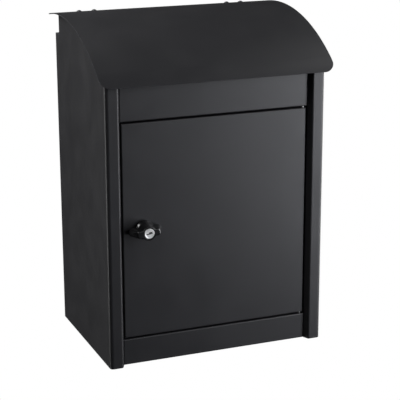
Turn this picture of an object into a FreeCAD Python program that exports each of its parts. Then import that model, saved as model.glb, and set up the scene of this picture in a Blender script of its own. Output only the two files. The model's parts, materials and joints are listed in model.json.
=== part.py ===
"""Lockable sheet-steel mailbox: curved lid hinged at the back, side-hung door with a locking knob.

Millimetres. X runs left to right, Y runs front to back, Z runs up. The origin is the centre of
the bottom of the whole box, so the mailbox stands on Z = 0.
"""
import FreeCAD, Part
import math
import os

V = FreeCAD.Vector
X = V(1, 0, 0)
Y = V(0, 1, 0)
Z = V(0, 0, 1)

# ---------------------------------------------------------------- driving dimensions
BODY_WIDTH = 400.0          # over the outer faces of the two side panels
BODY_DEPTH = 283.0          # from the columns' front to the back face
SHEET = 1.5                 # steel sheet of the cabinet and the lid
THIN_SHEET = 1.0            # steel sheet of the inner stiffener

COLUMN_WIDTH = 22.5         # front face of each column
COLUMN_BEND = 6.0           # outer bend between side panel and column
RETURN_DEPTH = 11.0         # how far the front panels sit behind the columns
RETURN_INSET = 5.0          # how far the column's return leans towards the middle
RETURN_BEND = 3.0           # bend between column front and return
SMALL_BEND = 2.0            # all other bends
FLANGE = 16.0               # depth of the jambs and of the folded front panels
REAR_FLANGE = 15.0          # inward flange that carries the back panel

LOWER_PANEL_TOP = 47.0
DOOR_BOTTOM = 49.7
DOOR_TOP = 428.3
UPPER_PANEL_BOTTOM = 431.0
UPPER_PANEL_TOP = 515.0
DOOR_GAP = 2.5              # each side, between the door and the jamb
DOOR_FLANGE = 14.0

LID_OVERHANG = 12.0         # beyond each side panel
LID_CROWN_Y = 212.0         # behind the columns' front
LID_CROWN_Z = 585.0
LID_RADIUS = 347.0
LIP_START_Y = 5.0           # where the tighter front lip begins
LIP_RADIUS = 100.0
LIP_END_ANGLE = 54.5        # slope of the lid at its front edge, degrees
LID_REAR_Y = 282.0
LID_FRONT_CORNER = 20.0
LID_REAR_CORNER = 5.0
LID_CLEARANCE = 1.5         # between the lid and the side panels' top edges

RECESS_DEPTH = 25.0         # hinge recess at the top of the back
RECESS_BOTTOM = 543.0

HINGE_Y = 262.0             # lid hinge axis, behind the columns' front
HINGE_CLEARANCE = 0.45      # between the knuckles and the lid
HINGE_X = 143.5             # centre of each lid hinge
HINGE_HALF = 22.0
KNUCKLE_HALF = 7.2          # half length of the lid leaf's knuckle
KNUCKLE_RADIUS = 4.0
HINGE_PIN_RADIUS = 2.0
RUNNING_FIT = 0.05          # radial clearance of every turning pin
PIN_FIT = 0.01              # radial clearance of a pin where it is held
AXIAL_GAP = 0.3
LEAF = 1.5
LEAF_DROP = 24.5            # lower edge of the fixed leaf under the axis
WALL_RIVET_DROP = 15.0      # wall rivets under the axis
WALL_RIVET_HEAD = 1.2
RIVET_TAIL = 3.2
LID_RIVET_HEAD = 5.0
LID_RIVET_HEIGHT = 2.4
PIN_HEAD = 3.0              # upset ends of the hinge pin
PIN_HEAD_LENGTH = 1.2
LID_RIVET_Y = 272.0         # behind the columns' front
RIVET_SPREAD = 14.0         # each rivet from its hinge's centre

KNOB_X = -132.7
KNOB_Z = 243.0
KNOB_TILT = 4.0             # the wings' right end sits this much higher, degrees
KEYWAY_TILT = 8.0           # and the keyway's, degrees
KNOB_REACH = 30.0           # from the door's face to the front of the key cylinder
KNOB_REACH_TO_HUB = 0.6     # the hub's face sits this far behind the cylinder's face
HUB_RADIUS = 12.5
SKIRT_RADIUS = 16.8
SKIRT_RIM = 1.6             # straight part of the skirt, next to the door
SKIRT_FLARE = 7.0           # depth over which the skirt narrows to the hub
WING_LENGTH = 29.0          # from the axis, at the shoulder
WING_BACK = 28.0            # from the axis, at the knob's back
WING_SHOULDER = 5.0         # in front of the knob's back
WING_NOSE = 20.0            # from the axis, at the front face
WING_HALF_HEIGHT = 6.5
WING_CORNER = 2.5
SHELL_RADIUS = 8.7
SHELL_DEPTH = 20.0
PLUG_RADIUS = 6.3
PLUG_DEPTH = 16.5
PLUG_PLAY = 0.5             # behind the plug, in the shell's bore
KEYWAY = 1.6
KEYWAY_LENGTH = 9.2
KEYWAY_DEPTH = 14.0

SPINDLE_RADIUS = 6.0
SPINDLE_SQUARE = 7.0
SPINDLE_THREAD = 2.0        # radius
ROSE_RADIUS = 16.2
ROSE = 2.5
GASKET = 0.8
GASKET_INSET = 0.6
HOUSING_RADIUS = 9.0
LOCK_NUT_RADIUS = 14.0      # over the corners
LOCK_NUT = 5.0
CAM = 2.5
CAM_LENGTH = 52.0
CAM_HALF_WIDTH = 7.0
CAM_HEEL_RADIUS = 10.0
CAM_CLEARANCE = 1.0         # between the strike plate and the cam behind it
CAM_NUT_RADIUS = 4.0
CAM_NUT = 3.0
CAM_WASHER_RADIUS = 6.0
CAM_WASHER = 1.0
STRIKE_OUTER = 17.5         # strike plate beyond the jamb, towards the side panel
STRIKE_INNER = 11.5         # and towards the middle
STRIKE_HALF_HEIGHT = 32.0
STRIKE_CORNER = 3.0
PAD_RADIUS = 4.0
PAD_IN = 6.5                # door stop pads, inwards from the jamb
PAD_UP = 22.0               # and above and below the knob

PIVOT_FROM_EDGE = 4.8       # door pivot axis from the door's right edge
PIVOT_FROM_FACE = 4.7       # and behind its front face
PIVOT_RADIUS = 2.5
PIVOT_HEAD_RADIUS = 3.1
PIVOT_HEAD = 2.0            # thickness of the pin's head
PIVOT_REACH = 6.0           # of the pin into the door
BUSH_RADIUS = 3.1           # clear of the door pan's folded edge
BUSH_LENGTH = 8.0
BUSH_BLOCK = 6.0            # of the bush's block, from the axis towards the middle
STIFFENER_HALF = 18.0
STIFFENER_DEPTH = 10.0
STIFFENER_BEND = 1.5
STIFFENER_EDGE = 14.0       # width of each welded edge
STIFFENER_END = 12.0        # clear of the door's top and bottom

WALL_HOLE_RADIUS = 4.25
WALL_HOLE_X = 150.0
WALL_HOLE_LOW = 90.0
WALL_HOLE_HIGH = 450.0
DRAIN_RADIUS = 3.0
DRAIN_X = 150.0
DRAIN_FROM_EDGE = 30.0
FLOOR_RISE = 12.0           # height of the floor tray's flanges
FLOOR_PLAY = 1.0            # between the floor tray and the back panel

BAFFLE_FOLD = 10.0          # above the upper panel's lower edge
BAFFLE_RISE = 18.0          # welded edge above the fold
BAFFLE_REACH = 120.0
BAFFLE_DROP = 36.0
BAFFLE_LIP = 12.0
BUMPER_BACK = 7.0           # lid bumpers, behind the front panels' plane
BUMPER_RADIUS = 5.0
BUMPER_TOP_RADIUS = 3.0
BUMPER_GAP = 2.5            # from the lid's underside above the bumper's axis

# ---------------------------------------------------------------- derived places
FRONT = (KNOB_REACH - RETURN_DEPTH - BODY_DEPTH) / 2     # columns' front plane
BACK = FRONT + BODY_DEPTH
PANEL = FRONT + RETURN_DEPTH                             # front plane of door and panels
JAMB_END = PANEL + FLANGE
HALF = BODY_WIDTH / 2
INNER_HALF = HALF - SHEET
JAMB_X = HALF - COLUMN_WIDTH - RETURN_INSET
DOOR_HALF = JAMB_X - DOOR_GAP
PIVOT_X = DOOR_HALF - PIVOT_FROM_EDGE
PIVOT_Y = PANEL + PIVOT_FROM_FACE
RECESS = BACK - RECESS_DEPTH
LID_HALF = HALF + LID_OVERHANG
ARC_Y = FRONT + LID_CROWN_Y                              # centre of the lid's large arc
ARC_Z = LID_CROWN_Z - LID_RADIUS
REAR_ANGLE = math.degrees(math.asin((LID_CROWN_Y - LID_REAR_Y) / LID_RADIUS))
LIP_ANGLE = math.degrees(math.asin((LID_CROWN_Y - LIP_START_Y) / LID_RADIUS))
LID_UNDERSIDE = LID_RADIUS - SHEET
UNDER_LID_AT_HINGE = ARC_Z + math.sqrt(LID_UNDERSIDE ** 2 - (HINGE_Y - LID_CROWN_Y) ** 2)
HINGE = V(0, FRONT + HINGE_Y, UNDER_LID_AT_HINGE - KNUCKLE_RADIUS - HINGE_CLEARANCE)
WALL_RIVET_Z = HINGE.z - WALL_RIVET_DROP
CAM_FACE = JAMB_END + SHEET + CAM_CLEARANCE
KNOB_BACK = PANEL - GASKET - ROSE - AXIAL_GAP
CYLINDER_FACE = PANEL - KNOB_REACH
HUB_FACE = CYLINDER_FACE + KNOB_REACH_TO_HUB
BACK_TOP = HINGE.z - 2.5


# ---------------------------------------------------------------- helpers
def box(x0, x1, y0, y1, z0, z1):
    return Part.makeBox(x1 - x0, y1 - y0, z1 - z0, V(x0, y0, z0))


def rod(radius, start, end):
    return Part.makeCylinder(radius, (end - start).Length, start, end - start)


def tube(outer, inner, start, end):
    return rod(outer, start, end).cut(rod(inner, start, end))


def mirror_x(shape):
    return shape.mirror(V(0, 0, 0), X)


def fillet_edges(shape, radius, chosen):
    return shape.makeFillet(radius, [edge for edge in shape.Edges if chosen(edge)])


def shifted_path(points, distance, normal):
    """The path moved sideways by distance, to the right of travel seen against the normal."""
    sides = []
    for a, b in zip(points, points[1:]):
        sides.append((b - a).normalize().cross(normal))
    moved = [points[0] + sides[0] * distance]
    for corner, before, after in zip(points[1:], sides, sides[1:]):
        moved.append(corner + (before + after) * (distance / (1 + before.dot(after))))
    moved.append(points[-1] + sides[-1] * distance)
    return moved


def rounded_edges(points, radii):
    """Straight edges through the points, with a tangent arc of the given radius at each corner."""
    edges = []
    last = points[0]
    for a, corner, b, radius in zip(points, points[1:], points[2:], radii):
        into = (corner - a).normalize()
        out = (b - corner).normalize()
        half_turn = into.getAngle(out) / 2
        setback = radius * math.tan(half_turn)
        start = corner - into * setback
        end = corner + out * setback
        middle = corner + (out - into).normalize() * (radius / math.cos(half_turn) - radius)
        edges.append(Part.LineSegment(last, start).toShape())
        if radius > 0.01:
            edges.append(Part.Arc(start, middle, end).toShape())
        last = end
    edges.append(Part.LineSegment(last, points[-1]).toShape())
    return edges


def folded_sheet(points, bend, thickness, normal, run):
    """A folded strip of sheet: the path is its near side, and run is the extrusion."""
    far = shifted_path(points, thickness, normal)
    bends = bend if isinstance(bend, list) else [bend] * (len(points) - 2)
    far_bends = []
    for a, corner, b, radius in zip(points, points[1:], points[2:], bends):
        turns_right = (corner - a).cross(b - corner).dot(normal) < 0
        far_bends.append(max(radius - thickness, 0.0) if turns_right else radius + thickness)
    outline = rounded_edges(points, bends) + rounded_edges(far, far_bends)
    outline.append(Part.LineSegment(points[0], far[0]).toShape())
    outline.append(Part.LineSegment(points[-1], far[-1]).toShape())
    wire = Part.Wire(Part.__sortEdges__(outline))
    return Part.Face(wire).extrude(run)


def front_pan(half_width, z0, z1, depth):
    """A folded panel: flat front, four flanges running back, rounded front edges."""
    outer = box(-half_width, half_width, PANEL, PANEL + depth, z0, z1)
    outer = fillet_edges(outer, SMALL_BEND, lambda edge: edge.BoundBox.YMax < PANEL + 0.01)
    inner = box(-half_width + SHEET, half_width - SHEET, PANEL + SHEET, PANEL + depth + 1,
                z0 + SHEET, z1 - SHEET)
    return outer.cut(inner)


def on_arc(angle, radius):
    """Point on the lid's large arc, angle measured from the crown towards the front."""
    turn = math.radians(angle)
    return V(0, ARC_Y - radius * math.sin(turn), ARC_Z + radius * math.cos(turn))


def on_lip(angle, inset):
    turn = math.radians(LIP_ANGLE)
    reach = LID_RADIUS - LIP_RADIUS
    centre = V(0, ARC_Y - reach * math.sin(turn), ARC_Z + reach * math.cos(turn))
    turn = math.radians(angle)
    radius = LIP_RADIUS - inset
    return centre + V(0, -radius * math.sin(turn), radius * math.cos(turn))


def lid_curve(inset):
    """The lid's side profile from back to front, as two tangent arcs, inset below its top."""
    radius = LID_RADIUS - inset
    middle = (REAR_ANGLE + LIP_ANGLE) / 2
    large = Part.Arc(on_arc(REAR_ANGLE, radius), on_arc(middle, radius), on_arc(LIP_ANGLE, radius))
    middle = (LIP_ANGLE + LIP_END_ANGLE) / 2
    lip = Part.Arc(on_lip(LIP_ANGLE, inset), on_lip(middle, inset), on_lip(LIP_END_ANGLE, inset))
    return [large.toShape(), lip.toShape()]


def space_above(inset):
    """Everything above the lid's curve, for trimming the panels under it."""
    back = on_arc(REAR_ANGLE, LID_RADIUS - inset)
    front = on_lip(LIP_END_ANGLE, inset)
    roof = LID_CROWN_Z + 50
    corners = [front, V(0, front.y, roof), V(0, back.y + 20, roof), V(0, back.y + 20, back.z), back]
    edges = lid_curve(inset)
    for a, b in zip(corners, corners[1:]):
        edges.append(Part.LineSegment(a, b).toShape())
    face = Part.Face(Part.Wire(Part.__sortEdges__(edges)))
    face.translate(V(-HALF - 20, 0, 0))
    return face.extrude(V(BODY_WIDTH + 40, 0, 0))


def dome_rivet(head, shank, length, height, tail):
    """Rivet on the Z axis: domed head above Z = 0, shank and flat tail below."""
    ball = (head * head + height * height) / (2 * height)
    dome = Part.makeSphere(ball, V(0, 0, height - ball))
    dome = dome.common(Part.makeCylinder(head, height))
    tail_end = Part.makeCylinder(tail, 1.0, V(0, 0, -length - 1.0))
    return dome.fuse([Part.makeCylinder(shank, length, V(0, 0, -length)), tail_end]).removeSplitter()


def posed(shape, axis, angle, place):
    copy = shape.copy()
    copy.Placement = FreeCAD.Placement(place, FreeCAD.Rotation(axis, angle))
    return copy


# ---------------------------------------------------------------- cabinet
def side_panel():
    """Right-hand side: rear flange, side, column front, leaning return and jamb, one sheet."""
    rear = BACK - SHEET
    path = [V(HALF - REAR_FLANGE, rear, 0), V(HALF, rear, 0), V(HALF, FRONT, 0),
            V(HALF - COLUMN_WIDTH, FRONT, 0), V(JAMB_X, PANEL, 0), V(JAMB_X, JAMB_END, 0)]
    bends = [SMALL_BEND, COLUMN_BEND, RETURN_BEND, SMALL_BEND]
    panel = folded_sheet(path, bends, SHEET, Z, V(0, 0, LID_CROWN_Z))
    panel = panel.cut(space_above(SHEET + LID_CLEARANCE))
    panel = panel.cut(box(0, HALF + 1, RECESS, BACK + 1, RECESS_BOTTOM, LID_CROWN_Z))
    shelf = box(0, INNER_HALF, RECESS, BACK + 1, RECESS_BOTTOM - SHEET, LID_CROWN_Z)
    return panel.cut(shelf)


def back_panel():
    """Back sheet with the hinge recess folded into its top and four wall holes."""
    path = [V(0, BACK, 0), V(0, BACK, RECESS_BOTTOM), V(0, RECESS, RECESS_BOTTOM),
            V(0, RECESS, BACK_TOP)]
    panel = folded_sheet(path, SMALL_BEND, SHEET, X * -1, V(2 * INNER_HALF, 0, 0))
    panel.translate(V(-INNER_HALF, 0, 0))
    for x in (-WALL_HOLE_X, WALL_HOLE_X):
        for z in (WALL_HOLE_LOW, WALL_HOLE_HIGH):
            panel = panel.cut(rod(WALL_HOLE_RADIUS, V(x, BACK - 5, z), V(x, BACK + 5, z)))
    for x in hinge_rivet_places():
        panel = panel.cut(wall_rivet_hole(x))
    return panel


def floor_panel():
    """Floor tray, flanges up, with four drain holes."""
    rear = BACK - 2 * SHEET - FLOOR_PLAY
    tray = box(-INNER_HALF, INNER_HALF, JAMB_END, rear, 0, FLOOR_RISE)
    hollow = box(-INNER_HALF + SHEET, INNER_HALF - SHEET, JAMB_END + SHEET, rear - SHEET,
                 SHEET, FLOOR_RISE)
    tray = tray.cut(hollow)
    for x in (-DRAIN_X, DRAIN_X):
        for y in (JAMB_END + DRAIN_FROM_EDGE, rear - DRAIN_FROM_EDGE):
            tray = tray.cut(rod(DRAIN_RADIUS, V(x, y, -1), V(x, y, 2 * SHEET)))
    return tray


def pivot_hole(z0, z1):
    return rod(PIVOT_RADIUS, V(PIVOT_X, PIVOT_Y, z0), V(PIVOT_X, PIVOT_Y, z1))


def lower_front_panel():
    panel = front_pan(JAMB_X, 0, LOWER_PANEL_TOP, FLANGE)
    return panel.cut(pivot_hole(LOWER_PANEL_TOP - SHEET - 1, DOOR_BOTTOM))


def upper_front_panel():
    panel = front_pan(JAMB_X, UPPER_PANEL_BOTTOM, UPPER_PANEL_TOP, FLANGE)
    return panel.cut(pivot_hole(DOOR_TOP, UPPER_PANEL_BOTTOM + SHEET + 1))


def mail_baffle():
    """Sloping plate behind the upper panel that keeps hands out of the compartment."""
    fold = UPPER_PANEL_BOTTOM + BAFFLE_FOLD
    rear = JAMB_END + BAFFLE_REACH
    path = [V(0, JAMB_END, fold + BAFFLE_RISE), V(0, JAMB_END, fold),
            V(0, rear, fold - BAFFLE_DROP), V(0, rear, fold - BAFFLE_DROP - BAFFLE_LIP)]
    plate = folded_sheet(path, SMALL_BEND, SHEET, X * -1, V(2 * INNER_HALF, 0, 0))
    plate.translate(V(-INNER_HALF, 0, 0))
    return plate


def strike_plate():
    """Plate welded to the end of the left jamb: the cam closes behind its outer half."""
    plate = box(-JAMB_X - STRIKE_OUTER, -JAMB_X + STRIKE_INNER, JAMB_END, JAMB_END + SHEET,
                KNOB_Z - STRIKE_HALF_HEIGHT, KNOB_Z + STRIKE_HALF_HEIGHT)
    return fillet_edges(plate, STRIKE_CORNER, lambda edge: edge.BoundBox.YLength > SHEET - 0.01)


def door_stop_pads():
    """Two rubber pads on the strike plate that the door's flange closes against."""
    x = -JAMB_X + PAD_IN
    front = PANEL + DOOR_FLANGE + AXIAL_GAP
    heights = (KNOB_Z - PAD_UP, KNOB_Z + PAD_UP)
    return Part.Compound([rod(PAD_RADIUS, V(x, JAMB_END, z), V(x, front, z)) for z in heights])


def lid_bumpers():
    """Two rubber buttons on the upper panel's top flange that the lid rests on."""
    y = PANEL + BUMPER_BACK
    underside = ARC_Z + math.sqrt(LID_UNDERSIDE ** 2 - (ARC_Y - y) ** 2)
    height = underside - UPPER_PANEL_TOP - BUMPER_GAP
    button = Part.makeCone(BUMPER_RADIUS, BUMPER_TOP_RADIUS, height, V(0, y, UPPER_PANEL_TOP))
    buttons = []
    for x in (-HINGE_X, HINGE_X):
        copy = button.copy()
        copy.translate(V(x, 0, 0))
        buttons.append(copy)
    return Part.Compound(buttons)


def pivot_pin(inside, outside, head_sense):
    """Shouldered pin: its head sits inside the panel's flange and its end in the door's bush."""
    start = V(PIVOT_X, PIVOT_Y, inside)
    head = rod(PIVOT_HEAD_RADIUS, start, start + Z * (PIVOT_HEAD * head_sense))
    return head.fuse(pivot_hole(inside, outside)).removeSplitter()


# ---------------------------------------------------------------- lid hinge
def hinge_rivet_places():
    places = []
    for side in (-1, 1):
        for offset in (-RIVET_SPREAD, RIVET_SPREAD):
            places.append(side * HINGE_X + offset)
    return places


def wall_rivet_hole(x):
    return rod(HINGE_PIN_RADIUS, V(x, RECESS - 5, WALL_RIVET_Z), V(x, RECESS + 5, WALL_RIVET_Z))


def knuckle(x0, x1, clearance):
    along = [V(x, HINGE.y, HINGE.z) for x in (x0, x1)]
    return tube(KNUCKLE_RADIUS, HINGE_PIN_RADIUS + clearance, along[0], along[1])


def hinge_bore(centre, clearance):
    reach = HINGE_HALF + 8
    return rod(HINGE_PIN_RADIUS + clearance, V(centre - reach, HINGE.y, HINGE.z),
               V(centre + reach, HINGE.y, HINGE.z))


def hinge_fixed_leaf(centre):
    """Leaf on the recess wall, with the two outer knuckles."""
    inner = KNUCKLE_HALF + AXIAL_GAP
    plate = box(centre - HINGE_HALF, centre + HINGE_HALF, RECESS, RECESS + LEAF,
                HINGE.z - LEAF_DROP, HINGE.z - KNUCKLE_RADIUS - 0.5)
    for x in (centre - RIVET_SPREAD, centre + RIVET_SPREAD):
        plate = plate.cut(wall_rivet_hole(x))
    bore = hinge_bore(centre, PIN_FIT)
    pieces = []
    for x0, x1 in ((-HINGE_HALF, -inner), (inner, HINGE_HALF)):
        pieces.append(knuckle(centre + x0, centre + x1, PIN_FIT))
        pieces.append(box(centre + x0, centre + x1, RECESS, RECESS + LEAF,
                          HINGE.z - KNUCKLE_RADIUS - 1, HINGE.z))
    return plate.fuse(pieces).cut(bore).removeSplitter()


def lid_band(x0, x1, y0, y1, outer, inner):
    """A piece of shell between two cylinders about the lid's large arc."""
    shell = tube(outer, inner, V(x0, ARC_Y, ARC_Z), V(x1, ARC_Y, ARC_Z))
    return shell.common(box(x0, x1, y0, y1, ARC_Z, LID_CROWN_Z + 1))


def hinge_lid_leaf(centre):
    """Leaf under the back of the lid, curved like it, with the middle knuckle."""
    top = LID_UNDERSIDE
    rear = FRONT + LID_REAR_Y - 1
    plate = lid_band(centre - HINGE_HALF, centre + HINGE_HALF, HINGE.y + KNUCKLE_RADIUS + 0.5, rear,
                     top, top - LEAF)
    web = lid_band(centre - KNUCKLE_HALF, centre + KNUCKLE_HALF, HINGE.y, HINGE.y + KNUCKLE_RADIUS + 1,
                   top, top - LEAF - 0.5)
    roll = knuckle(centre - KNUCKLE_HALF, centre + KNUCKLE_HALF, RUNNING_FIT)
    leaf = plate.fuse([web, roll])
    leaf = leaf.cut(hinge_bore(centre, RUNNING_FIT))
    for hole in lid_rivet_holes(centre):
        leaf = leaf.cut(hole)
    return leaf.removeSplitter()


def hinge_pin(centre):
    """Pin with an upset head at each end, held by the fixed leaf."""
    end = HINGE_HALF + PIN_HEAD_LENGTH
    pin = rod(HINGE_PIN_RADIUS, V(centre - end, HINGE.y, HINGE.z), V(centre + end, HINGE.y, HINGE.z))
    for x0, x1 in ((-end, -HINGE_HALF), (HINGE_HALF, end)):
        pin = pin.fuse(rod(PIN_HEAD, V(centre + x0, HINGE.y, HINGE.z), V(centre + x1, HINGE.y, HINGE.z)))
    return pin.removeSplitter()


def lid_rivet_tilt():
    return math.degrees(math.asin((FRONT + LID_RIVET_Y - ARC_Y) / LID_RADIUS))


def lid_rivet_holes(centre):
    holes = []
    tilt = lid_rivet_tilt()
    for x in (centre - RIVET_SPREAD, centre + RIVET_SPREAD):
        hole = Part.makeCylinder(HINGE_PIN_RADIUS, 20, V(0, 0, -10))
        holes.append(posed(hole, X, -tilt, on_arc(-tilt, LID_RADIUS) + V(x, 0, 0)))
    return holes


def lid_rivets():
    """Four domed rivets through the lid and the moving leaves."""
    tilt = lid_rivet_tilt()
    rivet = dome_rivet(LID_RIVET_HEAD, HINGE_PIN_RADIUS, SHEET + LEAF + 0.02, LID_RIVET_HEIGHT, RIVET_TAIL)
    places = [on_arc(-tilt, LID_RADIUS) + V(x, 0, 0) for x in hinge_rivet_places()]
    return Part.Compound([posed(rivet, X, -tilt, place) for place in places])


def hinge_wall_rivets():
    """Four flat rivets through the fixed leaves and the recess wall."""
    rivet = dome_rivet(2 * HINGE_PIN_RADIUS, HINGE_PIN_RADIUS, SHEET + LEAF, WALL_RIVET_HEAD, RIVET_TAIL)
    face = RECESS + LEAF
    return Part.Compound([posed(rivet, X, -90, V(x, face, WALL_RIVET_Z)) for x in hinge_rivet_places()])


def lid_sheet():
    """Curved lid: one sheet, rounded corners, four rivet holes."""
    outer = lid_curve(0)
    inner = lid_curve(SHEET)
    back = Part.LineSegment(on_arc(REAR_ANGLE, LID_RADIUS), on_arc(REAR_ANGLE, LID_UNDERSIDE))
    front = Part.LineSegment(on_lip(LIP_END_ANGLE, 0), on_lip(LIP_END_ANGLE, SHEET))
    face = Part.Face(Part.Wire(Part.__sortEdges__(outer + inner + [back.toShape(), front.toShape()])))
    face.translate(V(-LID_HALF, 0, 0))
    lid = face.extrude(V(2 * LID_HALF, 0, 0))
    lip_chord = LIP_END_ANGLE - math.degrees(LID_FRONT_CORNER / LIP_RADIUS) / 2
    for sense in (-1, 1):
        lid = lid.cut(corner_cutter(LID_FRONT_CORNER, sense, 1, lip_chord, on_lip(LIP_END_ANGLE, 0)))
        lid = lid.cut(corner_cutter(LID_REAR_CORNER, sense, -1, REAR_ANGLE, on_arc(REAR_ANGLE, LID_RADIUS)))
    for centre in (-HINGE_X, HINGE_X):
        for hole in lid_rivet_holes(centre):
            lid = lid.cut(hole)
    return lid


def corner_cutter(radius, side, inwards, slope, place):
    """What rounding a lid corner takes away: side is left or right, inwards points along +Y or -Y."""
    block = box(-radius, 1, -1, radius, -15, 15)
    crossing = radius + 0.05        # a touch over, so the round crosses the lid's edges cleanly
    block = block.cut(Part.makeCylinder(crossing, 30, V(-radius, radius, -15)))
    if side < 0:
        block = mirror_x(block)
    if inwards < 0:
        block = block.mirror(V(0, 0, 0), Y)
    return posed(block, X, slope, place + V(side * LID_HALF, 0, 0))


# ---------------------------------------------------------------- door
def lock_point(y):
    return V(KNOB_X, y, KNOB_Z)


def door_panel():
    """Door pan with the lock hole and a bush hole in its top and bottom flanges."""
    pan = front_pan(DOOR_HALF, DOOR_BOTTOM, DOOR_TOP, DOOR_FLANGE)
    pan = pan.cut(rod(HOUSING_RADIUS, lock_point(PANEL - 5), lock_point(PANEL + 5)))
    for z in (DOOR_BOTTOM, DOOR_TOP - SHEET):
        hole = rod(BUSH_RADIUS, V(PIVOT_X, PIVOT_Y, z - 1), V(PIVOT_X, PIVOT_Y, z + SHEET + 1))
        pan = pan.cut(hole)
    return pan


def pivot_bush(face, sense):
    """Nylon bush: a spigot through the door's flange and a square block in the corner behind it."""
    inside = face - sense * SHEET
    far_end = inside - sense * BUSH_LENGTH
    spigot = rod(BUSH_RADIUS, V(PIVOT_X, PIVOT_Y, face), V(PIVOT_X, PIVOT_Y, inside))
    block = box(PIVOT_X - BUSH_BLOCK, DOOR_HALF - SHEET, PANEL + SHEET, PANEL + DOOR_FLANGE,
                min(inside, far_end), max(inside, far_end))
    bore = rod(PIVOT_RADIUS + RUNNING_FIT, V(PIVOT_X, PIVOT_Y, face + sense),
               V(PIVOT_X, PIVOT_Y, far_end - sense))
    return spigot.fuse(block).cut(bore).removeSplitter()


def door_stiffener():
    """Hat channel welded inside the door."""
    inside = PANEL + SHEET
    crown = inside + STIFFENER_DEPTH
    z = DOOR_BOTTOM + STIFFENER_END
    edge = STIFFENER_HALF + STIFFENER_EDGE
    path = [V(-edge, inside, z), V(-STIFFENER_HALF, inside, z), V(-STIFFENER_HALF, crown, z),
            V(STIFFENER_HALF, crown, z), V(STIFFENER_HALF, inside, z), V(edge, inside, z)]
    length = DOOR_TOP - DOOR_BOTTOM - 2 * STIFFENER_END
    return folded_sheet(path, STIFFENER_BEND, THIN_SHEET, Z * -1, V(0, 0, length))


def lock_housing():
    """Fixed lock body: round rose in front of the door and a threaded barrel through it."""
    rose_back = PANEL - GASKET
    rose = rod(ROSE_RADIUS, lock_point(rose_back - ROSE), lock_point(rose_back))
    barrel = rod(HOUSING_RADIUS, lock_point(rose_back - ROSE), lock_point(JAMB_END - 1))
    bore = rod(SPINDLE_RADIUS + RUNNING_FIT, lock_point(rose_back - ROSE - 1), lock_point(JAMB_END + 1))
    return rose.fuse(barrel).cut(bore).removeSplitter()


def lock_gasket():
    return tube(ROSE_RADIUS - GASKET_INSET, HOUSING_RADIUS, lock_point(PANEL - GASKET), lock_point(PANEL))


def hexagon(radius, start, thickness):
    """Hexagon prism behind start, given by the radius over its corners."""
    turns = [math.radians(60 * i) for i in range(7)]
    corners = [start + V(radius * math.cos(turn), 0, radius * math.sin(turn)) for turn in turns]
    return Part.Face(Part.makePolygon(corners)).extrude(Y * thickness)


def lock_nut():
    """Flat hexagon nut behind the door sheet."""
    start = lock_point(PANEL + SHEET)
    return hexagon(LOCK_NUT_RADIUS, start, LOCK_NUT).cut(rod(HOUSING_RADIUS, start - Y, start + Y * 6))


# ---------------------------------------------------------------- knob and key cylinder
def wing_section(y, half_length):
    """Rounded rectangle across the knob's two wings at depth y."""
    a = half_length
    b = WING_HALF_HEIGHT
    corners = [V(a, y, 0), V(a, y, b), V(-a, y, b), V(-a, y, -b), V(a, y, -b), V(a, y, 0)]
    wire = Part.Wire(Part.__sortEdges__(rounded_edges(corners, [WING_CORNER] * 4)))
    wire.translate(V(KNOB_X, 0, KNOB_Z))
    return wire


def knob_grip():
    """Two-winged turning grip: a round hub that flares to a skirt, with a pocket for the key cylinder."""
    shoulder = wing_section(KNOB_BACK - WING_SHOULDER, WING_LENGTH)
    base = Part.makeLoft([wing_section(KNOB_BACK, WING_BACK), shoulder], True)
    nose = Part.makeLoft([shoulder, wing_section(HUB_FACE, WING_NOSE)], True)
    hub = rod(HUB_RADIUS, lock_point(HUB_FACE), lock_point(KNOB_BACK))
    rim = rod(SKIRT_RADIUS, lock_point(KNOB_BACK - SKIRT_RIM), lock_point(KNOB_BACK))
    flare = Part.makeCone(SKIRT_RADIUS, HUB_RADIUS, SKIRT_FLARE, lock_point(KNOB_BACK - SKIRT_RIM), -Y)
    grip = base.fuse([nose, hub, rim, flare])
    grip = grip.cut(rod(SHELL_RADIUS, lock_point(HUB_FACE - 1), lock_point(CYLINDER_FACE + SHELL_DEPTH)))
    return grip.cut(rod(SPINDLE_RADIUS, lock_point(CYLINDER_FACE), lock_point(PANEL))).removeSplitter()


def cylinder_shell():
    """Metal shell of the key cylinder, pressed into the knob."""
    shell = rod(SHELL_RADIUS, lock_point(CYLINDER_FACE), lock_point(CYLINDER_FACE + SHELL_DEPTH))
    bore_end = CYLINDER_FACE + PLUG_DEPTH + PLUG_PLAY
    return shell.cut(rod(PLUG_RADIUS + RUNNING_FIT, lock_point(CYLINDER_FACE - 1), lock_point(bore_end)))


def across_knob(half_width, half_height, y0, y1):
    """Rectangular bar on the knob's axis."""
    return box(KNOB_X - half_width, KNOB_X + half_width, y0, y1, KNOB_Z - half_height, KNOB_Z + half_height)


def key_plug():
    """Turning plug of the key cylinder with its keyway."""
    plug = rod(PLUG_RADIUS, lock_point(CYLINDER_FACE), lock_point(CYLINDER_FACE + PLUG_DEPTH))
    keyway_end = CYLINDER_FACE + KEYWAY_DEPTH
    return plug.cut(across_knob(KEYWAY_LENGTH / 2, KEYWAY / 2, CYLINDER_FACE - 1, keyway_end))


def spindle_square(y0, y1):
    return across_knob(SPINDLE_SQUARE / 2, SPINDLE_SQUARE / 2, y0, y1)


def knob_spindle():
    """Round spindle from the knob through the housing, with a square end for the cam."""
    round_part = rod(SPINDLE_RADIUS, lock_point(CYLINDER_FACE + SHELL_DEPTH), lock_point(CAM_FACE))
    cam_back = CAM_FACE + CAM
    thread = rod(SPINDLE_THREAD, lock_point(cam_back), lock_point(cam_back + CAM_WASHER + CAM_NUT))
    return round_part.fuse([spindle_square(CAM_FACE, cam_back), thread]).removeSplitter()


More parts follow.
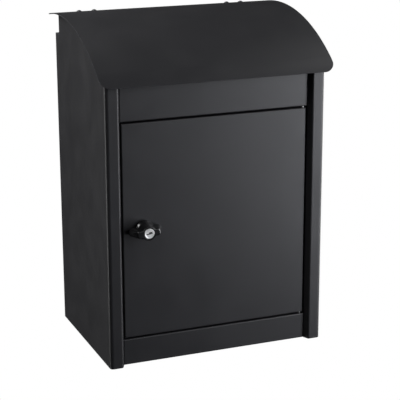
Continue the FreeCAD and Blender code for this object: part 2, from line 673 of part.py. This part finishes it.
def latch_cam():
    """Flat steel cam, hanging down when unlocked, round-ended, on the spindle's square."""
    half = CAM_HALF_WIDTH
    blade = box(KNOB_X - half, KNOB_X + half, CAM_FACE, CAM_FACE + CAM, KNOB_Z - CAM_LENGTH + half, KNOB_Z)
    tip = V(KNOB_X, CAM_FACE, KNOB_Z - CAM_LENGTH + half)
    heel = rod(CAM_HEEL_RADIUS, lock_point(CAM_FACE), lock_point(CAM_FACE + CAM))
    blade = blade.fuse([rod(half, tip, tip + Y * CAM), heel])
    return blade.cut(spindle_square(CAM_FACE - 1, CAM_FACE + CAM + 1)).removeSplitter()


def cam_washer():
    return tube(CAM_WASHER_RADIUS, SPINDLE_THREAD, lock_point(CAM_FACE + CAM),
                lock_point(CAM_FACE + CAM + CAM_WASHER))


def cam_nut():
    start = lock_point(CAM_FACE + CAM + CAM_WASHER)
    return hexagon(CAM_NUT_RADIUS, start, CAM_NUT).cut(rod(SPINDLE_THREAD, start - Y, start + Y * 4))


def tilted(shape, degrees):
    """Shape turned about the knob's axis, its right end up."""
    return shape.rotated(V(KNOB_X, 0, KNOB_Z), Y, -degrees)


# ---------------------------------------------------------------- all pieces
def pieces():
    right = side_panel()
    inside_lower = LOWER_PANEL_TOP - SHEET
    inside_upper = UPPER_PANEL_BOTTOM + SHEET
    return {
        "left_side_panel": mirror_x(right),
        "right_side_panel": right,
        "back_panel": back_panel(),
        "floor_panel": floor_panel(),
        "lower_front_panel": lower_front_panel(),
        "upper_front_panel": upper_front_panel(),
        "mail_baffle": mail_baffle(),
        "strike_plate": strike_plate(),
        "door_stop_pads": door_stop_pads(),
        "lid_bumpers": lid_bumpers(),
        "upper_pivot_pin": pivot_pin(inside_upper, DOOR_TOP - PIVOT_REACH, 1),
        "lower_pivot_pin": pivot_pin(inside_lower, DOOR_BOTTOM + PIVOT_REACH, -1),
        "left_hinge_fixed_leaf": hinge_fixed_leaf(-HINGE_X),
        "right_hinge_fixed_leaf": hinge_fixed_leaf(HINGE_X),
        "left_hinge_pin": hinge_pin(-HINGE_X),
        "right_hinge_pin": hinge_pin(HINGE_X),
        "hinge_wall_rivets": hinge_wall_rivets(),
        "lid_sheet": lid_sheet(),
        "left_hinge_lid_leaf": hinge_lid_leaf(-HINGE_X),
        "right_hinge_lid_leaf": hinge_lid_leaf(HINGE_X),
        "lid_rivets": lid_rivets(),
        "door_panel": door_panel(),
        "door_stiffener": door_stiffener(),
        "upper_pivot_bush": pivot_bush(DOOR_TOP, 1),
        "lower_pivot_bush": pivot_bush(DOOR_BOTTOM, -1),
        "lock_housing": lock_housing(),
        "lock_gasket": lock_gasket(),
        "lock_nut": lock_nut(),
        "knob_grip": tilted(knob_grip(), KNOB_TILT),
        "cylinder_shell": tilted(cylinder_shell(), KNOB_TILT),
        "knob_spindle": tilted(knob_spindle(), KNOB_TILT),
        "latch_cam": tilted(latch_cam(), KNOB_TILT),
        "cam_washer": cam_washer(),
        "cam_nut": tilted(cam_nut(), KNOB_TILT),
        "key_plug": tilted(key_plug(), KEYWAY_TILT),
    }


def main():
    os.makedirs("parts", exist_ok=True)
    for name, shape in pieces().items():
        solids = shape.Solids
        print(name, len(solids), "solid(s), volume", round(shape.Volume, 1), "valid", shape.isValid())
        shape.exportStep("parts/" + name + ".step")


main()
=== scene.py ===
"""Looks of a black sheet-steel mailbox with a curved flap lid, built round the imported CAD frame."""
import json
import math

import bmesh
import bpy
from mathutils import Matrix, Vector

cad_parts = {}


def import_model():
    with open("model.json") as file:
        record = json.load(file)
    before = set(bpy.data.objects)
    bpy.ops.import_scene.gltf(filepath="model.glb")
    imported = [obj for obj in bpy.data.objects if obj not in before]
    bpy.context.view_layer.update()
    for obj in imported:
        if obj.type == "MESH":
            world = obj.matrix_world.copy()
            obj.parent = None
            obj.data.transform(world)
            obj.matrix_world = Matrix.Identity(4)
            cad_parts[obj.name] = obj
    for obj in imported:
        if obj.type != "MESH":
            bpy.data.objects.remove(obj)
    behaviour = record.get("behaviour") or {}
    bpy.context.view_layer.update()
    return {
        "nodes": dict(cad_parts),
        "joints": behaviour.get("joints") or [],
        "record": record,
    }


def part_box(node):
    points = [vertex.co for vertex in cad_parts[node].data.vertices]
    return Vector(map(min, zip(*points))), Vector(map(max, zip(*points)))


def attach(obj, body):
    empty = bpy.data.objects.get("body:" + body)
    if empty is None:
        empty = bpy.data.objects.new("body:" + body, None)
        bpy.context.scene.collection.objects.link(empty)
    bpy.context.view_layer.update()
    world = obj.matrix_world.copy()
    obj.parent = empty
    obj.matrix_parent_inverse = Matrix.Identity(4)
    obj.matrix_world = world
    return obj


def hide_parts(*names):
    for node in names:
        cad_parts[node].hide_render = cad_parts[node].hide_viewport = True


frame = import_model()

NODES = frame["nodes"]
JOINTS = {joint["name"]: joint for joint in frame["joints"]}
SLOT_COLOUR = {entry["slot"]: entry["base_color"] for entry in frame["record"]["materials"]}

MM = 0.001


# ---------------------------------------------------------------- material helpers

class Recipe:
    """A new node material with its Principled shader and short ways to add and join nodes."""

    def __init__(self, name, slot, **sockets):
        self.material = bpy.data.materials.new(name)
        self.material.use_nodes = True
        self.tree = self.material.node_tree
        self.shader = self.tree.nodes["Principled BSDF"]
        self.colour = SLOT_COLOUR[slot]
        self.coords = self.tree.nodes.new("ShaderNodeTexCoord").outputs["Object"]
        for socket, value in sockets.items():
            self.shader.inputs[socket.replace("_", " ")].default_value = value

    def node(self, kind, links=None, **settings):
        made = self.tree.nodes.new(kind)
        for key, value in settings.items():
            setattr(made, key, value)
        for socket, source in (links or {}).items():
            if isinstance(source, bpy.types.NodeSocket):
                self.tree.links.new(source, made.inputs[socket])
            else:
                made.inputs[socket].default_value = source
        return made

    def noise(self, size, detail=2.0, stretch=(1, 1, 1)):
        """Cloudy pattern from 0 to 1 whose features are about `size` metres across."""
        scaled = self.node("ShaderNodeMapping", {"Vector": self.coords, "Scale": stretch})
        return self.node("ShaderNodeTexNoise", {
            "Vector": scaled.outputs[0], "Scale": 1 / size, "Detail": detail}).outputs[0]

    def spread(self, source, low, high, start=0.3, end=0.7):
        """Source between start and end, brought to the range low to high."""
        return self.node("ShaderNodeMapRange", {
            0: source, 1: start, 2: end, 3: low, 4: high}, clamp=True).outputs[0]

    def mix(self, amount, first, second):
        made = self.node("ShaderNodeMix", data_type="RGBA")
        for socket, source in ((0, amount), (6, first), (7, second)):
            if isinstance(source, bpy.types.NodeSocket):
                self.tree.links.new(source, made.inputs[socket])
            else:
                made.inputs[socket].default_value = source
        return made.outputs[2]

    def edge_mask(self, radius):
        """1 along outside and inside edges, 0 on open surfaces."""
        rounded = self.node("ShaderNodeBevel", {"Radius": radius}, samples=6).outputs[0]
        plain = self.node("ShaderNodeNewGeometry").outputs["Normal"]
        likeness = self.node("ShaderNodeVectorMath", {0: rounded, 1: plain}, operation="DOT_PRODUCT")
        return self.spread(likeness.outputs["Value"], 1, 0, 0.86, 0.995)

    def bump(self, height, depth, strength=1.0, under=None):
        links = {"Height": height, "Distance": depth, "Strength": strength}
        if under is not None:
            links["Normal"] = under
        return self.node("ShaderNodeBump", links).outputs[0]

    def join(self, source, socket):
        self.tree.links.new(source, self.shader.inputs[socket])


def shade(colour, factor):
    return tuple(min(1.0, part * factor) for part in colour) + (1.0,)


def powder_coat(name="satin_powder_coat", slot="powder_coat"):
    """Satin black powder coat: fine orange peel, faint cloudiness, edges painted paler as a highlight and
    as rubbed coat.
    """
    recipe = Recipe(name, slot, Specular_IOR_Level=0.45)
    cloud = recipe.noise(0.12, 3)
    fleck = recipe.noise(0.0011, 2)
    edge = recipe.edge_mask(0.0012)
    tone = recipe.mix(cloud, shade(recipe.colour, 0.58), shade(recipe.colour, 0.72))
    tone = recipe.mix(recipe.spread(fleck, 0, 0.35, 0.55, 0.8), tone, shade(recipe.colour, 1.5))
    # Edges up to three times paler: a painted highlight along bends and edges, which also stands for
    # rubbed coat.
    edge_highlight_and_wear = recipe.spread(edge, 0, 0.5, 0, 1)
    recipe.join(recipe.mix(edge_highlight_and_wear, tone, shade(recipe.colour, 3.0)), "Base Color")
    peel = recipe.noise(0.0022, 2)
    grain = recipe.noise(0.0008, 1)
    rough = recipe.spread(recipe.noise(0.05, 3), 0.35, 0.41)
    recipe.join(rough, "Roughness")
    soft = recipe.bump(peel, 0.00007)
    recipe.join(recipe.bump(grain, 0.000025, under=soft), "Normal")
    return recipe.material


def zinc():
    """Bright zinc plate with a faint drawn grain and a dull bloom."""
    recipe = Recipe("bright_zinc", "zinc_steel", Metallic=1.0)
    bloom = recipe.noise(0.004, 4)
    recipe.join(recipe.mix(bloom, shade(recipe.colour, 0.8), shade(recipe.colour, 1.1)), "Base Color")
    recipe.join(recipe.spread(bloom, 0.28, 0.45), "Roughness")
    recipe.join(recipe.bump(recipe.noise(0.0005, 2, (1, 1, 0.2)), 0.00002), "Normal")
    return recipe.material


def gloss_plastic():
    """Gloss black moulding with faint sink marks and hairline scuffs."""
    recipe = Recipe("gloss_black_moulding", "black_plastic", Specular_IOR_Level=0.9)
    scuff = recipe.noise(0.0009, 4, (1, 1, 0.15))
    recipe.join(recipe.mix(scuff, shade(recipe.colour, 0.5), shade(recipe.colour, 0.9)), "Base Color")
    recipe.join(recipe.spread(scuff, 0.15, 0.25), "Roughness")
    recipe.join(recipe.bump(recipe.noise(0.006, 1), 0.00008), "Normal")
    return recipe.material


def nickel():
    """Satin nickel turned on a lathe: a fine grain and a soft stain."""
    recipe = Recipe("satin_nickel", "cylinder_nickel", Metallic=1.0)
    stain = recipe.noise(0.002, 3)
    recipe.join(recipe.mix(stain, shade(recipe.colour, 1.15), shade(recipe.colour, 1.3)), "Base Color")
    recipe.join(recipe.spread(stain, 0.38, 0.46), "Roughness")
    recipe.join(recipe.bump(recipe.noise(0.0004, 2), 0.00001), "Normal")
    return recipe.material


def rubber():
    """Matt black rubber with a dusty bloom."""
    recipe = Recipe("matt_rubber", "rubber", Specular_IOR_Level=0.3)
    dust = recipe.noise(0.002, 4)
    recipe.join(recipe.mix(dust, shade(recipe.colour, 0.7), shade(recipe.colour, 1.8)), "Base Color")
    recipe.join(recipe.spread(dust, 0.7, 0.85), "Roughness")
    recipe.join(recipe.bump(recipe.noise(0.0007, 3), 0.00005), "Normal")
    return recipe.material


def nylon():
    """Natural nylon, slightly yellowed and cloudy."""
    recipe = Recipe("natural_nylon", "nylon")
    cloud = recipe.noise(0.003, 3)
    recipe.join(recipe.mix(cloud, shade(recipe.colour, 0.9), shade(recipe.colour, 1.05)), "Base Color")
    recipe.join(recipe.spread(cloud, 0.4, 0.55), "Roughness")
    recipe.join(recipe.bump(recipe.noise(0.0006, 2), 0.00002), "Normal")
    return recipe.material


def shutter():
    """Dull steel of the shutter inside the keyway, its colour cut to 5 to 15 percent of the nickel as
    painted shade in the recess.
    """
    recipe = Recipe("keyway_shutter_painted_shade", "cylinder_nickel", Metallic=1.0)
    mottle = recipe.noise(0.001, 3)
    # Painted shade: both tones are a small fraction of the nickel, so the keyway reads dark.
    recipe.join(recipe.mix(mottle, shade(recipe.colour, 0.05), shade(recipe.colour, 0.15)), "Base Color")
    recipe.join(recipe.spread(mottle, 0.4, 0.6), "Roughness")
    return recipe.material


COAT = powder_coat()
FINISHES = {
    "powder_coat": COAT,
    "coated_rivet": COAT,
    "zinc_steel": zinc(),
    "black_plastic": gloss_plastic(),
    "cylinder_nickel": nickel(),
    "rubber": rubber(),
    "nylon": nylon(),
    # Shutter finish, painted dark as the shade inside the keyway.
    "shutter": shutter(),
}


# ---------------------------------------------------------------- carried-over CAD nodes

def node_slots():
    """{node: slot name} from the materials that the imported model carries."""
    found = {}
    for name, obj in NODES.items():
        found[name] = obj.data.materials[0].name if obj.data.materials else None
    return found


for node_name, slot_name in node_slots().items():
    finish = FINISHES.get((slot_name or "").split(".")[0], COAT)
    mesh = NODES[node_name].data
    mesh.materials.clear()
    mesh.materials.append(finish)


# ---------------------------------------------------------------- helpers for new pieces

def add_piece(name, bm, finish, body, slot, *nodes):
    """Closed mesh piece with smooth shading that rides on a body and stands for CAD nodes."""
    bmesh.ops.recalc_face_normals(bm, faces=bm.faces)
    mesh = bpy.data.meshes.new(name)
    bm.to_mesh(mesh)
    bm.free()
    for polygon in mesh.polygons:
        polygon.use_smooth = True
    mesh.materials.append(finish)
    piece = bpy.data.objects.new(name, mesh)
    bpy.context.scene.collection.objects.link(piece)
    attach(piece, body)
    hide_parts(*nodes)
    return piece


def skin(bm, rings, cap_start=True, cap_end=True):
    """Joins rings of equal length into a closed skin; each ring is a list of points."""
    loops = [[bm.verts.new(point) for point in ring] for ring in rings]
    count = len(loops[0])
    for lower, upper in zip(loops, loops[1:]):
        for i in range(count):
            j = (i + 1) % count
            bm.faces.new((lower[i], lower[j], upper[j], upper[i]))
    for loop, wanted in ((loops[0], cap_start), (loops[-1], cap_end)):
        if wanted:
            bm.faces.new(loop)
    return loops


# ---------------------------------------------------------------- knob

KNOB_TILT = math.radians(4)
KEYWAY_TILT = math.radians(8)
KNOB_AXIS = Vector(JOINTS["knob_turn"]["pos_m"])
GRIP_LOW, GRIP_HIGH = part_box("knob_grip")
SHELL_LOW, SHELL_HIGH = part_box("cylinder_shell")
PLUG_LOW, PLUG_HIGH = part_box("key_plug")
SHELL_RADIUS = (SHELL_HIGH.x - SHELL_LOW.x) / 2
PLUG_RADIUS = (PLUG_HIGH.x - PLUG_LOW.x) / 2
SPINDLE_RADIUS = 6.0 * MM
FIT = 0.05 * MM                            # play between the knob's parts
HUB_RADIUS = 12.5 * MM
SKIRT_RADIUS = 16.8 * MM
SKIRT_RIM = 1.6 * MM
SKIRT_FLARE = 8.0 * MM
WING_LENGTH = 29.0 * MM
WING_BACK = 28.0 * MM
WING_NOSE = 20.0 * MM
WING_SHOULDER = 5.0 * MM
WING_HEIGHT = 6.6 * MM
WING_WAIST = 5.6 * MM
GRIP_EDGE = 1.3 * MM                       # rounding of the grip's edges
GRIP_POINTS = 144


def on_knob(across, depth, up, tilt=KNOB_TILT):
    """Point beside the knob's axis, turned by the tilt that the knob rests at."""
    c, s = math.cos(tilt), math.sin(tilt)
    return Vector((KNOB_AXIS.x + across * c - up * s, depth, KNOB_AXIS.z + across * s + up * c))


def wing_reach(turn, length, height, waist):
    """Distance from the axis to a wing's outline in one direction: a bar, slightly pinched at the hub."""
    c, s = abs(math.cos(turn)), abs(math.sin(turn))
    low, high = 0.0, 1.2 * length
    for _ in range(40):
        middle = (low + high) / 2
        along = min(1.0, middle * c / length)
        half = (waist + (height - waist) * along ** 2) * (1 - along ** 16) ** 0.5
        low, high = (middle, high) if middle * s <= half and middle * c <= length else (low, middle)
    return low


def grip_ring(depth, hub, length, height, waist):
    """Outline of the grip at one depth: hub and wings run into each other."""
    ring = []
    for i in range(GRIP_POINTS):
        turn = math.tau * i / GRIP_POINTS
        blend = 14.0
        wing = wing_reach(turn, length, height, waist)
        radius = (hub ** blend + wing ** blend) ** (1 / blend)
        ring.append(on_knob(radius * math.cos(turn), depth, radius * math.sin(turn)))
    return ring


def skirt(depth, back):
    """Hub radius: a skirt next to the door that flares in to the round hub."""
    ahead = max(0.0, back - depth)
    t = min(1.0, max(0.0, (ahead - SKIRT_RIM) / SKIRT_FLARE))
    ease = 1 - (1 - t) ** 2 * (1 + 0.35 * t)
    return SKIRT_RADIUS + (HUB_RADIUS - SKIRT_RADIUS) * ease


def back_edge_rings(back):
    """Rounded back edge of the grip, from the door outwards."""
    rings = []
    for i in range(5):
        a = math.pi / 2 * i / 4
        shrink = GRIP_EDGE * (1 - math.sin(a))
        depth = back - GRIP_EDGE * (1 - math.cos(a))
        rings.append(grip_ring(depth, SKIRT_RADIUS - shrink, WING_BACK - shrink,
                               WING_HEIGHT - shrink, WING_WAIST - shrink))
    return rings


def body_rings(back, front):
    """Skirt, hub and wings between the two rounded edges."""
    start = back - GRIP_EDGE
    end = front + GRIP_EDGE
    shoulder = back - WING_SHOULDER
    steps = 22
    rings = []
    for i in range(1, steps + 1):
        depth = start + (end - start) * i / steps
        ahead = max(0.0, (shoulder - depth) / (shoulder - front))
        behind = max(0.0, (depth - shoulder) / WING_SHOULDER)
        length = WING_LENGTH + (WING_NOSE - WING_LENGTH) * ahead + (WING_BACK - WING_LENGTH) * behind
        rings.append(grip_ring(depth, skirt(depth, back), length, WING_HEIGHT, WING_WAIST))
    return rings


def front_face_ring(depth, shrink):
    return grip_ring(depth, HUB_RADIUS - shrink * 0.6, WING_NOSE - shrink,
                     WING_HEIGHT - shrink, WING_WAIST - shrink)


def front_edge_rings(front):
    """Rounded front edge of the grip, then the start of its level front face."""
    rings = []
    for i in range(1, 7):
        a = math.pi / 2 * i / 6
        depth = front + GRIP_EDGE * (1 - math.sin(a))
        rings.append(front_face_ring(depth, GRIP_EDGE * (1 - math.cos(a))))
    rings.append(front_face_ring(front, GRIP_EDGE + 0.25 * MM))
    return rings


def pocket_rings(front, back):
    """Bevelled pocket for the cylinder shell and the bore for the spindle behind it."""
    pocket = SHELL_RADIUS + FIT
    bevel = 0.6 * MM
    bore = SPINDLE_RADIUS + FIT
    profile = ((front, pocket + 0.8 * MM), (front, pocket + bevel), (front + 0.5 * MM, pocket + FIT),
               (front + bevel, pocket), (SHELL_HIGH.y, pocket), (SHELL_HIGH.y, bore), (back, bore))
    return [turned_ring(depth, radius, GRIP_POINTS) for depth, radius in profile]


def knob_grip():
    """Two-winged turning grip with a flared skirt, as one closed skin."""
    back, front = GRIP_HIGH.y, GRIP_LOW.y
    rings = back_edge_rings(back) + body_rings(back, front)
    rings += front_edge_rings(front) + pocket_rings(front, back)
    bm = bmesh.new()
    loops = skin(bm, rings, False, False)
    for i in range(GRIP_POINTS):
        j = (i + 1) % GRIP_POINTS
        bm.faces.new((loops[-1][i], loops[-1][j], loops[0][j], loops[0][i]))
    add_piece("knob_grip_moulding", bm, FINISHES["black_plastic"], "knob", "black_plastic", "knob_grip")


def turned_ring(depth, radius, count=96):
    return [on_knob(radius * math.cos(math.tau * i / count), depth,
                    radius * math.sin(math.tau * i / count)) for i in range(count)]


def cylinder_shell():
    """Nickel shell of the key cylinder: rolled front edge round the turning plug."""
    bore = PLUG_RADIUS + FIT
    front = SHELL_LOW.y
    seat = PLUG_HIGH.y + 0.4 * MM
    roll = 0.7 * MM
    bevel = 0.3 * MM
    profile = [(SHELL_HIGH.y, SHELL_RADIUS)]
    for i in range(7):
        a = math.radians(15 * i)
        profile.append((front + roll - roll * math.sin(a), SHELL_RADIUS - roll + roll * math.cos(a)))
    profile += [(front, bore + bevel), (front + bevel, bore), (seat, bore)]
    bm = bmesh.new()
    skin(bm, [turned_ring(depth, radius) for depth, radius in profile])
    add_piece("cylinder_shell_turned", bm, FINISHES["cylinder_nickel"], "knob", "cylinder_nickel",
              "cylinder_shell")


def rounded_loop(corners, radius, steps=4):
    """Closed outline through 2-D corners, each rounded by a short curve."""
    points = []
    count = len(corners)
    for i, corner in enumerate(corners):
        here = Vector(corner)
        before = Vector(corners[i - 1]) - here
        after = Vector(corners[(i + 1) % count]) - here
        cut = min(radius, before.length * 0.45, after.length * 0.45)
        start = here + before.normalized() * cut
        end = here + after.normalized() * cut
        for k in range(steps + 1):
            t = k / steps
            points.append(start * (1 - t) ** 2 + here * (2 * t * (1 - t)) + end * t ** 2)
    return points


def keyway_outline():
    """Profile of the keyway: a long slot with a hump along its upper right side."""
    half = PLUG_RADIUS * 0.88
    thick = 1.0 * MM
    hump = thick + 1.8 * MM
    corners = [(-half, -thick), (half, -thick), (half, thick), (half * 0.62, hump),
               (0.0, hump), (-half * 0.25, thick), (-half, thick * 0.6)]
    return rounded_loop(corners, 0.6 * MM)


def ring_edges(bm, loop):
    return [bm.edges.get((loop[i - 1], loop[i])) for i in range(len(loop))]


def key_plug():
    """Turning plug: bevelled face, profiled keyway and the sprung shutter inside it."""
    front, back = PLUG_LOW.y, PLUG_HIGH.y
    bevel = 0.3 * MM
    throat_depth = 2.2 * MM
    bm = bmesh.new()
    outside = [(back, PLUG_RADIUS), (front + bevel, PLUG_RADIUS), (front, PLUG_RADIUS - bevel)]
    loops = skin(bm, [turned_ring(depth, size) for depth, size in outside], True, False)
    keyway = keyway_outline()
    mouth = [bm.verts.new(on_knob(x, front, z, KEYWAY_TILT)) for x, z in keyway]
    throat = [bm.verts.new(on_knob(x, front + throat_depth, z, KEYWAY_TILT)) for x, z in keyway]
    for i in range(len(mouth)):
        j = (i + 1) % len(mouth)
        bm.faces.new((mouth[i], mouth[j], throat[j], throat[i]))
    bm.faces.new(throat)
    bmesh.ops.triangle_fill(bm, use_beauty=True, edges=ring_edges(bm, loops[-1]) + ring_edges(bm, mouth))
    piece = add_piece("key_plug_profiled", bm, FINISHES["cylinder_nickel"], "key_plug", "cylinder_nickel",
                      "key_plug")
    piece.data.materials.append(FINISHES["shutter"])
    for polygon in piece.data.polygons:
        centre = polygon.center
        reach = math.hypot(centre.x - KNOB_AXIS.x, centre.z - KNOB_AXIS.z)
        polygon.use_smooth = reach > PLUG_RADIUS * 0.98
        # Faces inside the keyway take the darkened shutter finish: painted shade in the recess.
        if reach < PLUG_RADIUS * 0.9 and front + bevel < centre.y < back - 1 * MM:
            polygon.material_index = 1


knob_grip()
cylinder_shell()
key_plug()


# ---------------------------------------------------------------- stage, lights, camera

def floor_material():
    """Even pale glow with a painted contact shadow: occlusion dims it a little where the object touches
    the floor.
    """
    material = bpy.data.materials.new("pale_floor")
    material.use_nodes = True
    tree = material.node_tree
    tree.nodes.clear()
    output = tree.nodes.new("ShaderNodeOutputMaterial")
    glow = tree.nodes.new("ShaderNodeEmission")
    # Painted contact shadow: occlusion near the object lowers the floor's glow.
    contact_shadow = tree.nodes.new("ShaderNodeAmbientOcclusion")
    contact_shadow.inputs["Distance"].default_value = 0.12
    tone = tree.nodes.new("ShaderNodeMapRange")
    for socket, value in (("From Min", 0.4), ("From Max", 1.0), ("To Min", 0.72), ("To Max", 1.0)):
        tone.inputs[socket].default_value = value
    tree.links.new(contact_shadow.outputs["AO"], tone.inputs["Value"])
    tree.links.new(tone.outputs["Result"], glow.inputs["Strength"])
    tree.links.new(glow.outputs[0], output.inputs["Surface"])
    return material


def level_ring(radius, height, count=96):
    turns = [math.tau * i / count for i in range(count)]
    return [(radius * math.cos(turn), radius * math.sin(turn), height) for turn in turns]


def stage_floor():
    """Pale floor that rises into an all-round backdrop far from the object."""
    radius = 6.0
    sweep = 2.0
    height = 5.0
    flat = radius - sweep
    rings = [level_ring(flat, 0.0)]
    for i in range(1, 7):
        a = math.radians(15 * i)
        rings.append(level_ring(flat + sweep * math.sin(a), sweep - sweep * math.cos(a)))
    rings.append(level_ring(radius, height))
    bm = bmesh.new()
    skin(bm, rings, True, False)
    mesh = bpy.data.meshes.new("floor")
    bm.to_mesh(mesh)
    bm.free()
    for polygon in mesh.polygons:
        polygon.use_smooth = True
    mesh.materials.append(floor_material())
    floor = bpy.data.objects.new("floor", mesh)
    bpy.context.scene.collection.objects.link(floor)
    floor.visible_glossy = False
    floor.visible_diffuse = False
    floor.visible_shadow = False


def softbox(name, azimuth, elevation, distance, width, height, power, colour=(1, 1, 1)):
    """Soft light round the object's middle. Azimuth 0 is in front of it and 90 on its right."""
    a, e = math.radians(azimuth), math.radians(elevation)
    outwards = Vector((math.sin(a) * math.cos(e), -math.cos(a) * math.cos(e), math.sin(e)))
    data = bpy.data.lights.new(name, "AREA")
    data.shape = "RECTANGLE"
    data.size = width
    data.size_y = height
    data.energy = power
    data.color = colour
    light = bpy.data.objects.new(name, data)
    light.location = Vector((0, 0, 0.3)) + outwards * distance
    light.rotation_mode = "QUATERNION"
    light.rotation_quaternion = (-outwards).to_track_quat("-Z", "Y")
    bpy.context.scene.collection.objects.link(light)


def camera():
    """Long lens in front of the object, to its left and a little above it."""
    yaw, pitch, roll = math.radians(21.799), math.radians(16.081), math.radians(-0.207)
    data = bpy.data.cameras.new("camera")
    data.lens = 122.107
    data.sensor_width = 36.0
    made = bpy.data.objects.new("camera", data)
    forward = Vector((math.sin(yaw) * math.cos(pitch), math.cos(yaw) * math.cos(pitch), -math.sin(pitch)))
    turned = Matrix.Rotation(roll, 3, "Z").to_quaternion()
    made.rotation_mode = "QUATERNION"
    made.rotation_quaternion = forward.to_track_quat("-Z", "Y") @ turned
    made.location = (-0.8605, -2.1987, 0.928)
    bpy.context.scene.collection.objects.link(made)
    bpy.context.scene.camera = made


def world():
    """Almost black surroundings, so that the lights alone shape the object."""
    made = bpy.data.worlds.new("studio")
    bpy.context.scene.world = made
    made.use_nodes = True
    made.node_tree.nodes["Background"].inputs["Color"].default_value = (0.005, 0.005, 0.005, 1)


COOL = (0.97, 0.985, 1.04)
# azimuth and elevation in degrees; distance, width and height in metres; watts; colour
LIGHTS = {
    "key_right": (40, 2, 2.2, 0.8, 1.8, 32.8, COOL),
    "right_low": (84, -4, 2.2, 0.5, 1.6, 26.2),
    "right_high": (90, 45, 2.2, 1.2, 1.2, 6.0),
    "right_rear": (120, 20, 2.2, 1.2, 1.2, 8.0),
    "right_near": (65, 45, 1.3, 0.6, 0.6, 0.9),
    "left_near": (-118, 50, 1.2, 0.6, 0.6, 5.0),
    "left_rear_low": (-118, -6, 2.2, 0.8, 1.6, 13.0),
    "left_rear": (-145, 25, 2.2, 0.8, 0.8, 16.4),
    "left_rear_high": (-140, 60, 2.2, 1.2, 1.2, 19.3),
    "left_kicker": (-76, 36, 2.2, 0.7, 0.7, 12.0),
    "front_line": (22, 30, 2.2, 1.4, 0.5, 6.0),
}

world()
stage_floor()
camera()
for light_name, settings in LIGHTS.items():
    softbox(light_name, *settings)
bpy.context.scene.view_settings.view_transform = "Standard"
